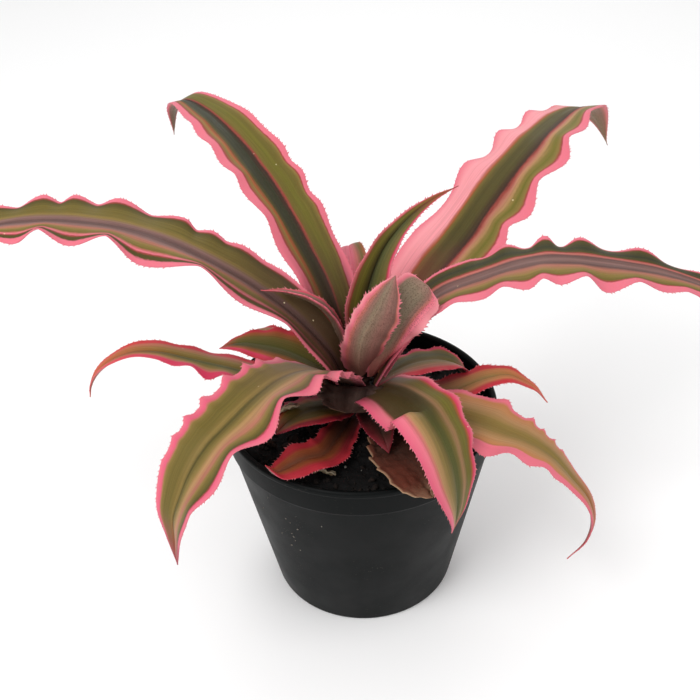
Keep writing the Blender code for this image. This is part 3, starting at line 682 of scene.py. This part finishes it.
def curve_through(points, shares):
    """Points on a smooth curve through the given points, at shares of its chord length."""
    p = np.asarray(points, float)
    lengths = np.linalg.norm(np.diff(p, axis=0), axis=1)
    s = np.concatenate([[0], np.cumsum(lengths)])
    slope = np.diff(p, axis=0) / lengths[:, None]
    tangent = np.empty_like(p)
    tangent[0], tangent[-1] = slope[0], slope[-1]
    for i in range(1, len(p) - 1):
        before, after = lengths[i - 1], lengths[i]
        tangent[i] = (slope[i - 1] * after + slope[i] * before) / (before + after)
    x = np.asarray(shares) * s[-1]
    k = np.clip(np.searchsorted(s, x, side="right") - 1, 0, len(p) - 2)
    h = lengths[k][:, None]
    u = (x - s[k])[:, None] / h
    return ((2 * u**3 - 3 * u**2 + 1) * p[k] + (u**3 - 2 * u**2 + u) * h * tangent[k]
            + (3 * u**2 - 2 * u**3) * p[k + 1] + (u**3 - u**2) * h * tangent[k + 1])


def eased(values, shares):
    """Values spread evenly along the leaf, with smooth steps between them."""
    v = np.asarray(values, float)
    if len(v) == 1:
        return np.full(len(shares), v[0])
    x = shares * (len(v) - 1)
    k = np.clip(x.astype(int), 0, len(v) - 2)
    u = x - k
    u = u * u * (3 - 2 * u)
    return v[k] * (1 - u) + v[k + 1] * u


def half_width(leaf, shares):
    rise = leaf.base + (1 - leaf.base) * np.sin(np.pi / 2 * np.clip(shares / leaf.peak, 0, 1))
    beyond = np.clip((shares - leaf.peak) / (1 - leaf.peak), 0, 1)
    fall = (1 - beyond ** leaf.tip[0]) ** leaf.tip[1]
    return np.maximum(leaf.width / 2 * np.where(shares < leaf.peak, rise, fall), 0.15)


def wave(edge, shares):
    """A wave along a margin, up to 1 at its crests and down to -1 between them."""
    crests = edge.crests
    if isinstance(crests, int):
        crests = [((i + 0.5) / crests, 1.0) for i in range(crests)]
    places, heights = [0.0], [0.0]
    for i, (place, strength) in enumerate(crests):
        if i > 0:
            before, before_strength = crests[i - 1]
            places.append((before + place) / 2)
            heights.append(-(before_strength + strength) / 2)
        places.append(place)
        heights.append(strength)
    places.append(min(0.99, 2 * places[-1] - places[-2]))
    heights.append(0.0)
    places, heights = np.array(places), np.array(heights)
    k = np.clip(np.searchsorted(places, shares, side="right") - 1, 0, len(places) - 2)
    u = np.clip((shares - places[k]) / np.maximum(places[k + 1] - places[k], 1e-6), 0, 1)
    rising = (1 - np.cos(np.pi * u)) / 2
    low, high = np.minimum(heights[k], heights[k + 1]), np.maximum(heights[k], heights[k + 1])
    share = np.where(heights[k + 1] > heights[k], rising, 1 - rising)
    return low + (high - low) * share**edge.point


def pleat(edge, shares):
    """One buckle of a margin: a slight dip, a sharp rise and a slow return."""
    if edge.pleat is None:
        return np.zeros(len(shares))
    place, height = edge.pleat
    reach = np.exp(-(((shares - place) / PLEAT_REACH) ** 2))
    rise = 1 / (1 + np.exp((place - shares) / PLEAT_SHARPNESS))
    return height * reach * (rise - PLEAT_DIP * (1 - rise))


def blade(leaf, shares, columns):
    """The leaf's middle surface in its own frame, as a grid of points."""
    rib = [(p[0], p[2] if len(p) > 2 else 0.0, p[1]) for p in leaf.rib]
    centre = curve_through(rib, shares)
    along = np.gradient(centre, axis=0)
    along /= np.linalg.norm(along, axis=1)[:, None]
    side = np.array([0.0, 1.0, 0.0]) - along[:, 1:2] * along
    side /= np.linalg.norm(side, axis=1)[:, None]
    normal = np.cross(along, side)
    roll = np.radians(eased(leaf.roll, shares))[:, None]
    side, normal = side * np.cos(roll) + normal * np.sin(roll), normal * np.cos(roll) - side * np.sin(roll)
    fold = np.radians(eased(leaf.fold, shares))
    half = half_width(leaf, shares)
    fade = np.sin(np.pi * np.clip(shares, 0.001, 0.999)) ** 0.6 * np.minimum(1, half / 4)
    tremble = np.array([noise.noise((s * 9, leaf.azimuth, 0.5)) for s in shares])
    points = np.empty((len(shares), len(columns), 3))
    for column, across in enumerate(columns):
        edge = leaf.left if across > 0 or leaf.right is None else leaf.right
        ripple = wave(edge, shares) * fade
        scallop = edge.scallop * ripple * abs(across) ** SCALLOP_POWER
        groove = GROOVE_DEPTH * math.exp(-((across / GROOVE_WIDTH) ** 2))
        sideways = half * across * np.cos(fold) * (1 + scallop) * (1 + leaf.uneven * np.sign(across))
        lifted = edge.height * ripple + tremble * TREMBLE_HEIGHT * fade
        upwards = half * abs(across) * np.sin(fold) + abs(across) ** MARGIN_POWER * lifted
        off_midrib = np.clip((abs(across) - GROOVE_WIDTH) / 0.4, 0, 1)
        upwards += pleat(edge, shares) * off_midrib - groove * np.minimum(1, half / 5)
        points[:, column] = centre + side * sideways[:, None] + normal * upwards[:, None]
    return points


def surface_normals(points):
    along = np.gradient(points, axis=0)
    across = np.gradient(points, axis=1)
    normals = np.cross(along, across)
    return normals / np.maximum(np.linalg.norm(normals, axis=2), 1e-9)[:, :, None]


def crumple(leaf, points, normals):
    """A dry leaf's creases, pushed into its surface."""
    rows, columns = points.shape[:2]
    out = points.copy()
    for i in range(rows):
        for j in range(columns):
            x, y, z = points[i, j]
            crease = abs(noise.noise((x * 0.35, y * 0.35 + leaf.azimuth, z * 0.35)))
            wrinkle = noise.noise((x * 1.2, y * 1.2, z * 1.2 + leaf.azimuth))
            out[i, j] += normals[i, j] * (CREASE_DEPTH * (crease - 0.2) + WRINKLE_DEPTH * wrinkle)
    return out


def rib_length(leaf):
    rib = np.array([(p[0], p[1], p[2] if len(p) > 2 else 0.0) for p in leaf.rib], float)
    return float(np.linalg.norm(np.diff(rib, axis=0), axis=1).sum())


def tooth_points(leaf, points, normals):
    """The margins' teeth: for each its base corners and tip, its share of the length and its side."""
    teeth = []
    rows = len(points)
    for column, inner in ((0, 1), (-1, -2)):
        margin = points[:, column]
        steps = np.linalg.norm(np.diff(margin, axis=0), axis=1)
        travelled = np.concatenate([[0], np.cumsum(steps)])
        count = int(travelled[-1] / TOOTH_SPACING)
        for k in range(2, count - 1):
            jitter = noise.noise((k * 1.7, leaf.azimuth, column + 0.3))
            where = (k + 0.5 * jitter) * TOOTH_SPACING
            i = int(np.searchsorted(travelled, where))
            i = min(max(i, 1), rows - 2)
            forward = margin[i + 1] - margin[i - 1]
            forward /= np.linalg.norm(forward)
            outward = margin[i] - points[i, inner]
            outward -= forward * np.dot(outward, forward)
            outward /= max(np.linalg.norm(outward), 1e-6)
            size = leaf.tooth * (0.8 + 0.5 * noise.noise((k * 0.9, 3.1, leaf.azimuth)))
            size *= min(1.0, 0.45 + 2.5 * (1 - i / rows))
            centre = margin[i] - outward * 0.15
            half = forward * TOOTH_WIDTH / 2 * size
            thick = normals[i, column] * EDGE_THICKNESS * 0.45
            tip = centre + (outward + forward * TOOTH_LEAN) * (TOOTH_LENGTH * size + 0.15)
            corners = np.array([centre - half, centre + half, centre + thick, centre - thick, tip])
            teeth.append((corners, i / rows, -1.0 if column == 0 else 1.0))
    return teeth


def make_leaf(leaf):
    length = rib_length(leaf)
    rows = max(24, round(length / STATION))
    shares = np.linspace(0, 1, rows)
    columns = np.sin(np.linspace(-1, 1, COLUMNS + 1) * np.pi / 2 * 0.86) / math.sin(np.pi / 2 * 0.86)
    points = blade(leaf, shares, columns)
    normals = surface_normals(points)
    if leaf.dry:
        points = crumple(leaf, points, normals)
        normals = surface_normals(points)
    thick = EDGE_THICKNESS + (MIDRIB_THICKNESS - EDGE_THICKNESS) * (1 - np.abs(columns) ** 2.5)
    thin_tip = np.minimum(1, half_width(leaf, shares) / 3)[:, None]
    offset = normals * (thick[None, :] * (0.35 + 0.65 * thin_tip) / 2)[:, :, None]
    count = rows * len(columns)
    faces = grid_faces(rows, len(columns))
    faces += grid_faces(rows, len(columns), count, flip=True)
    last = len(columns) - 1
    for i in range(rows - 1):
        a, b = i * len(columns), (i + 1) * len(columns)
        faces.append((a, count + a, count + b, b))
        faces.append((b + last, count + b + last, count + a + last, a + last))
    end = (rows - 1) * len(columns)
    for j in range(last):
        faces.append((j + 1, count + j + 1, count + j, j))
        faces.append((end + j, count + end + j, count + end + j + 1, end + j + 1))
    verts = [(points + offset).reshape(-1, 3), (points - offset).reshape(-1, 3)]
    along = np.tile(np.repeat(shares, len(columns)), 2)
    across = np.tile(np.tile(columns, rows), 2)
    under = np.repeat([0.0, 1.0], count)
    tooth = np.zeros(2 * count)
    if not leaf.dry:
        start = 2 * count
        for corners, share, side in tooth_points(leaf, points, normals):
            verts.append(corners)
            a, b, c, d, tip = range(start, start + 5)
            faces += [(a, c, tip), (c, b, tip), (b, d, tip), (d, a, tip), (a, d, b, c)]
            along = np.append(along, [share] * 5)
            across = np.append(across, [side] * 5)
            under = np.append(under, [0.0] * 5)
            tooth = np.append(tooth, [0.35, 0.35, 0.35, 0.35, 1.0])
            start += 5
    obj = new_piece(leaf.name + "_blade", np.concatenate(verts) * MM, faces, leaf_material(leaf, length))
    for name, values in (("along", along), ("across", across), ("under", under), ("tooth", tooth)):
        set_attribute(obj, name, values)
    obj.data.set_sharp_from_angle(angle=math.radians(60))
    obj.rotation_euler.z = math.radians(leaf.azimuth)
    obj.location.z = CROWN_DATUM
    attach(obj, ROOT)
    if leaf in LEAVES:
        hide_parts(leaf.name)


# ---- pot


def wall_radius(height):
    """The radius of the pot's outside at a height below the collar."""
    under_collar = POT_HEIGHT - COLLAR_HEIGHT
    return FOOT_RADIUS + (RIM_RADIUS - COLLAR_STEP - FOOT_RADIUS) * height / under_collar


def inner_radius(height):
    """The radius of the pot's inside at a height above the ground."""
    under_collar = POT_HEIGHT - COLLAR_HEIGHT
    if height <= under_collar:
        return wall_radius(height) - POT_WALL
    step = COLLAR_STEP - RIM_LIP
    return RIM_RADIUS - COLLAR_STEP - POT_WALL + step * (height - under_collar) / COLLAR_HEIGHT


def make_pot(material):
    """The pot, turned from its profile, with a rolled lip, a collar and drainage holes."""
    collar_base = POT_HEIGHT - COLLAR_HEIGHT
    floor_top = FLOOR_RAISE + POT_WALL
    pad = FOOT_RADIUS * FOOT_PAD_SHARE
    bead = 0.7 * MM
    inner_top = inner_radius(POT_HEIGHT)
    ring_inside = FOOT_RADIUS - FOOT_RING_WIDTH
    outline = [
        # radius, height, how far its corner is rounded in mm
        (0, 0, 0),
        (pad, 0, 0.5),
        (pad + 1 * MM, FLOOR_RAISE, 0.5),
        (ring_inside, FLOOR_RAISE, 0.5),
        (ring_inside + 1 * MM, 0, 0.5),
        (FOOT_RADIUS, 0, 1.2),
        (RIM_RADIUS - COLLAR_STEP, collar_base - 0.8 * MM, 0.6),
        (RIM_RADIUS - 0.7 * MM, collar_base, 0.5),
        (RIM_RADIUS - 0.35 * MM, POT_HEIGHT - 2.6 * MM, 0.3),
        (RIM_RADIUS, POT_HEIGHT - 2.1 * MM, 0.3),
        (RIM_RADIUS, POT_HEIGHT - bead, 0.5),
        (RIM_RADIUS - bead, POT_HEIGHT, 0.5),
        (inner_top + bead, POT_HEIGHT - 0.1 * MM, 0.4),
        (inner_top, POT_HEIGHT - 1.0 * MM, 0.4),
        (inner_radius(collar_base), collar_base, 1.0),
        (inner_radius(floor_top), floor_top, 1.5),
        (0, floor_top, 0),
    ]
    profile = [(radius, height) for radius, height, _ in outline]
    for corner in range(len(outline) - 2, 0, -1):
        profile = rounded(profile, corner, outline[corner][2] * MM)
    pot = turned_piece("pot_body", profile, 192, material)
    cut_drain_holes(pot, floor_top)
    pot.data.set_sharp_from_angle(angle=math.radians(35))
    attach(pot, ROOT)
    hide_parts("pot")


def cut_drain_holes(pot, floor_top):
    cutters = []
    centres = ring(FOOT_RADIUS * DRAIN_CIRCLE_SHARE, floor_top, DRAIN_COUNT, DRAIN_TURN)
    for i, centre in enumerate(centres):
        bpy.ops.mesh.primitive_cylinder_add(
            vertices=48, radius=DRAIN_RADIUS, depth=4 * floor_top, location=centre)
        cutter = bpy.context.object
        cutters.append(cutter)
        cut = pot.modifiers.new(f"drain_{i}", "BOOLEAN")
        cut.operation = "DIFFERENCE"
        cut.object = cutter
    evaluated = pot.evaluated_get(bpy.context.evaluated_depsgraph_get())
    cut_mesh = bpy.data.meshes.new_from_object(evaluated)
    pot.modifiers.clear()
    pot.data = cut_mesh
    for cutter in cutters:
        bpy.data.objects.remove(cutter, do_unlink=True)


# ---- potting mix


def mix_height(x, y):
    """The height of the mix's surface in metres: a low mound, clods and crumbs."""
    share = math.hypot(x, y) / RIM_RADIUS
    place = Vector((x, y, 0)) / MM
    clods = noise.fractal(place * 0.11, 0.9, 2.0, 3)
    crumbs = noise.fractal(place * 0.55 + Vector((7, 3, 1)), 0.8, 2.2, 3)
    pits = max(0.0, noise.noise(place * 0.3 + Vector((1, 9, 4))) - 0.25)
    lumps = 1.1 * clods + 0.5 * crumbs - 2.2 * pits
    return MIX_TOP + (MOUND_HEIGHT - 0.5 * MM) * max(0.0, 1 - share**2) + lumps * MM


def make_mix(material):
    """The potting mix: its lumpy surface, closed below by a plain tapering plug."""
    rings, segments = 84, 288
    outer = inner_radius(MIX_TOP) - 0.25 * MM
    points = [(0, 0, mix_height(0, 0))]
    for i in range(1, rings + 1):
        points += [(x, y, mix_height(x, y)) for x, y, _ in ring(outer * i / rings, 0, segments)]
    bottom = 3.9 * MM
    for height in (60 * MM, bottom):
        points += ring(inner_radius(height) - 0.4 * MM, height, segments)
    points.append((0, 0, bottom))
    faces = []
    for j in range(segments):
        faces.append((0, 1 + j, 1 + (j + 1) % segments))
    for i in range(rings + 1):
        for j in range(segments):
            k = (j + 1) % segments
            a, b = 1 + i * segments, 1 + (i + 1) * segments
            faces.append((a + j, b + j, b + k, a + k))
    last = 1 + (rings + 1) * segments
    for j in range(segments):
        faces.append((last + segments, last + (j + 1) % segments, last + j))
    mix = new_piece("mix_surface", points, faces, material)
    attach(mix, ROOT)
    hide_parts("potting_mix")


def lump(centre, size, stretch, rng, roughness):
    """The points and faces of one small irregular lump."""
    bm = bmesh.new()
    bmesh.ops.create_icosphere(bm, subdivisions=2, radius=1.0)
    turn = Euler(rng.uniform(0, 2 * math.pi, 3)).to_matrix()
    seed = Vector(rng.uniform(-50, 50, 3))
    points = []
    for vertex in bm.verts:
        at = vertex.co
        bulge = 1 + roughness * noise.noise(at * 1.6 + seed) + 0.4 * roughness * noise.noise(at * 4 + seed)
        p = Vector((at.x * stretch[0], at.y * stretch[1], at.z * stretch[2])) * bulge * size
        points.append(tuple(turn @ p + centre))
    faces = [tuple(v.index for v in face.verts) for face in bm.faces]
    bm.free()
    return points, faces


def heap(name, lumps, material):
    """Many lumps as one piece of the potting mix."""
    points, faces = [], []
    for lump_points, lump_faces in lumps:
        faces += [tuple(i + len(points) for i in face) for face in lump_faces]
        points += lump_points
    piece = new_piece(name, points, faces, material)
    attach(piece, ROOT)


def scatter(name, count, sizes, stretch, material, seed, roughness=0.6, sink=0.3):
    """Lumps strewn over the mix as one piece. sizes: the smallest and largest radius in mm."""
    rng = np.random.default_rng(seed)
    outer = inner_radius(MIX_TOP) - 1.6 * MM
    lumps = []
    for _ in range(count):
        radius = outer * math.sqrt(rng.uniform(0.01, 1))
        angle = rng.uniform(0, 2 * math.pi)
        size = sizes[0] + (sizes[1] - sizes[0]) * rng.uniform(0, 1) ** 2.5
        x, y = radius * math.cos(angle), radius * math.sin(angle)
        centre = Vector((x, y, mix_height(x, y) + (1 - 2 * sink) * size * 0.5 * MM))
        lumps.append(lump(centre, size * MM, stretch, rng, roughness))
    heap(name, lumps, material)


def make_specks(material):
    """A few crumbs of mix stuck to the outside of the pot, on its front left."""
    rng = np.random.default_rng(12)
    lumps = []
    for _ in range(26):
        angle = math.radians(rng.normal(228, 9))
        height = rng.uniform(0.5, 0.86) * POT_HEIGHT
        radius = wall_radius(height)
        size = rng.uniform(0.12, 0.45) * MM
        centre = Vector((radius * math.cos(angle), radius * math.sin(angle), height))
        lumps.append(lump(centre, size, (1.2, 0.8, 0.7), rng, 0.6))
    heap("pot_crumbs", lumps, material)


# ---- stem


def make_stem(material):
    """The short stem, ringed with the scars of old leaf bases."""
    foot = MIX_TOP - 4 * MM
    rows, segments = 60, 48
    points = []
    for i in range(rows):
        u = i / (rows - 1)
        height = foot + (STEM_TOP - foot) * u
        radius = STEM_RADIUS + (STEM_TOP_RADIUS - STEM_RADIUS) * u
        radius *= 1 if u < 0.93 else math.sqrt(max(0.05, 1 - ((u - 0.93) / 0.075) ** 2))
        for j in range(segments):
            angle = 2 * math.pi * j / segments
            scar = 0.35 * MM * math.sin(u * 60 + 2 * math.sin(angle * 2))
            rough = 0.3 * MM * noise.noise((math.cos(angle) * 3, math.sin(angle) * 3, u * 14))
            r = radius + (scar + rough) * min(1, (1 - u) * 8)
            points.append((r * math.cos(angle), r * math.sin(angle), height))
    faces = []
    for i in range(rows - 1):
        for j in range(segments):
            k = (j + 1) % segments
            a, b = i * segments, (i + 1) * segments
            faces.append((a + j, a + k, b + k, b + j))
    faces.append(tuple(range(segments))[::-1])
    faces.append(tuple(range((rows - 1) * segments, rows * segments)))
    stem = new_piece("stem_core", points, faces, material)
    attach(stem, ROOT)
    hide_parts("stem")


# ---- stage


def make_floor():
    bpy.ops.mesh.primitive_plane_add(size=4.0, location=(0, 0, 0))
    floor = bpy.context.object
    floor.name = "floor"
    floor.data.materials.append(plain_material("floor_paper", rgb(252, 252, 252), 0.9))


def soft_light(name, place, size, watts):
    data = bpy.data.lights.new(name, "AREA")
    data.shape = "DISK"
    data.size = size
    data.energy = watts
    light = bpy.data.objects.new(name, data)
    light.location = place
    light.rotation_euler = (VIEW_TARGET - Vector(place)).to_track_quat("-Z", "Y").to_euler()
    bpy.context.scene.collection.objects.link(light)


def make_lights():
    soft_light("key", (-0.55, -0.55, 1.0), 0.7, 8.0)
    soft_light("fill", (0.8, -0.5, 0.7), 0.9, 2.0)
    soft_light("back", (0.1, 0.9, 0.9), 0.9, 2.2)
    world = bpy.data.worlds.new("studio")
    world.use_nodes = True
    background = world.node_tree.nodes["Background"]
    background.inputs["Color"].default_value = (1, 1, 1, 1)
    background.inputs["Strength"].default_value = 0.68
    bpy.context.scene.world = world


def make_camera():
    data = bpy.data.cameras.new("camera")
    data.lens = VIEW_LENS
    camera = bpy.data.objects.new("camera", data)
    back = Vector((0, -math.cos(VIEW_ELEVATION), math.sin(VIEW_ELEVATION)))
    camera.location = VIEW_TARGET + back * VIEW_DISTANCE
    turn = Euler((math.pi / 2 - VIEW_ELEVATION, 0, 0)).to_matrix() @ Euler((0, 0, VIEW_ROLL)).to_matrix()
    camera.rotation_euler = turn.to_euler()
    bpy.context.scene.collection.objects.link(camera)
    bpy.context.scene.camera = camera


def main():
    bpy.context.scene.view_settings.view_transform = "Standard"
    make_camera()
    make_lights()
    make_floor()
    for leaf in LEAVES + SCRAPS:
        make_leaf(leaf)
    make_pot(pot_material())
    make_stem(soil_material("stem", rgb(34, 20, 17), rgb(72, 44, 34), 600.0))
    # the mix's near-black colour is partly its own dark peat and partly painted shade from the leaves over
    # it
    make_mix(soil_material("potting_mix", rgb(3, 3, 3), rgb(12, 10, 9)))
    peat = soil_material("peat_crumbs", rgb(10, 8, 7), rgb(36, 26, 21))
    bark = soil_material("bark", rgb(18, 12, 9), rgb(48, 30, 22))
    perlite = soil_material("perlite", rgb(110, 106, 100), rgb(190, 186, 178), 1500.0)
    scatter("mix_crumbs", 900, (0.3, 1.3), (1.2, 1.0, 0.8), peat, 3)
    scatter("bark_chips", 46, (0.9, 2.8), (1.6, 0.9, 0.35), bark, 5, 0.5, 0.2)
    scatter("perlite_grains", 12, (0.25, 0.6), (1.1, 1.0, 0.9), perlite, 8)
    make_specks(soil_material("pot_dirt", rgb(70, 64, 56), rgb(178, 170, 158), 2500.0))


main()
